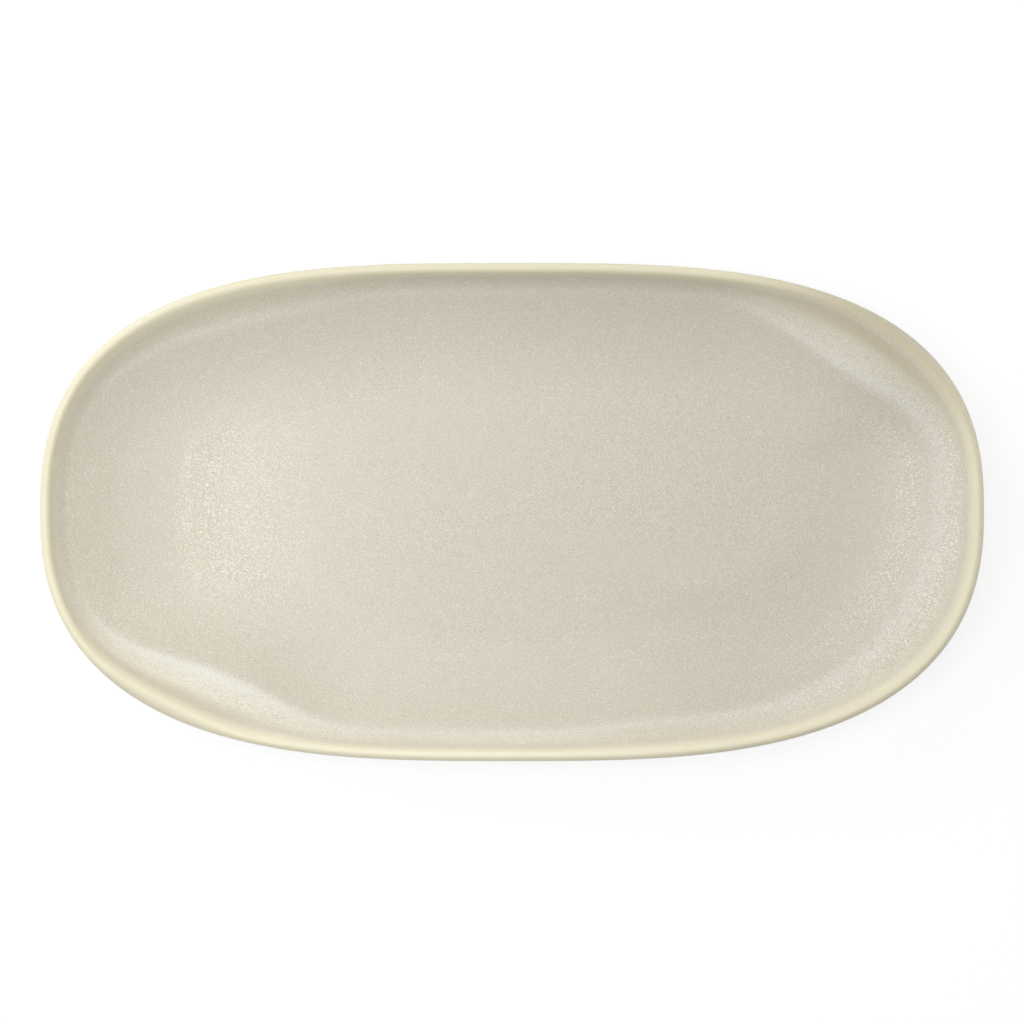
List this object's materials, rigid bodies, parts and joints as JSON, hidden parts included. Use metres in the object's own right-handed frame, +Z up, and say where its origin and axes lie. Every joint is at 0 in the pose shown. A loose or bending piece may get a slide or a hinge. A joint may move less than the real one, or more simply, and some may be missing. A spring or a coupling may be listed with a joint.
{
  "type": "serving platter",
  "caption": "Oval coupe serving platter in glazed stoneware: flat floor, broad dish, low wall, cream lip and an unglazed foot ring.",
  "frame": {"origin": "centre of the footprint on the surface the platter stands on", "axes": "+X along the length, +Y towards the back (the top of the picture), +Z up out of the well"},
  "size_m": [0.36, 0.19, 0.022],
  "materials": {
    "bare_clay": "bisque, unglazed fired stoneware",
    "foot_clay": "bisque, wiped and rubbed smooth",
    "back_coat": "satin sand glaze",
    "face_coat": "satin reactive sand glaze with a fine grain",
    "lip_coat": "satin cream, thin glaze broken over the edge"
  },
  "bodies": {
    "root": {"stoneware_body": "bare_clay", "foot_ring": "foot_clay", "recess_glaze": "back_coat", "back_glaze": "back_coat", "face_glaze": "face_coat", "lip_glaze": "lip_coat"}
  },
  "joints": []
}
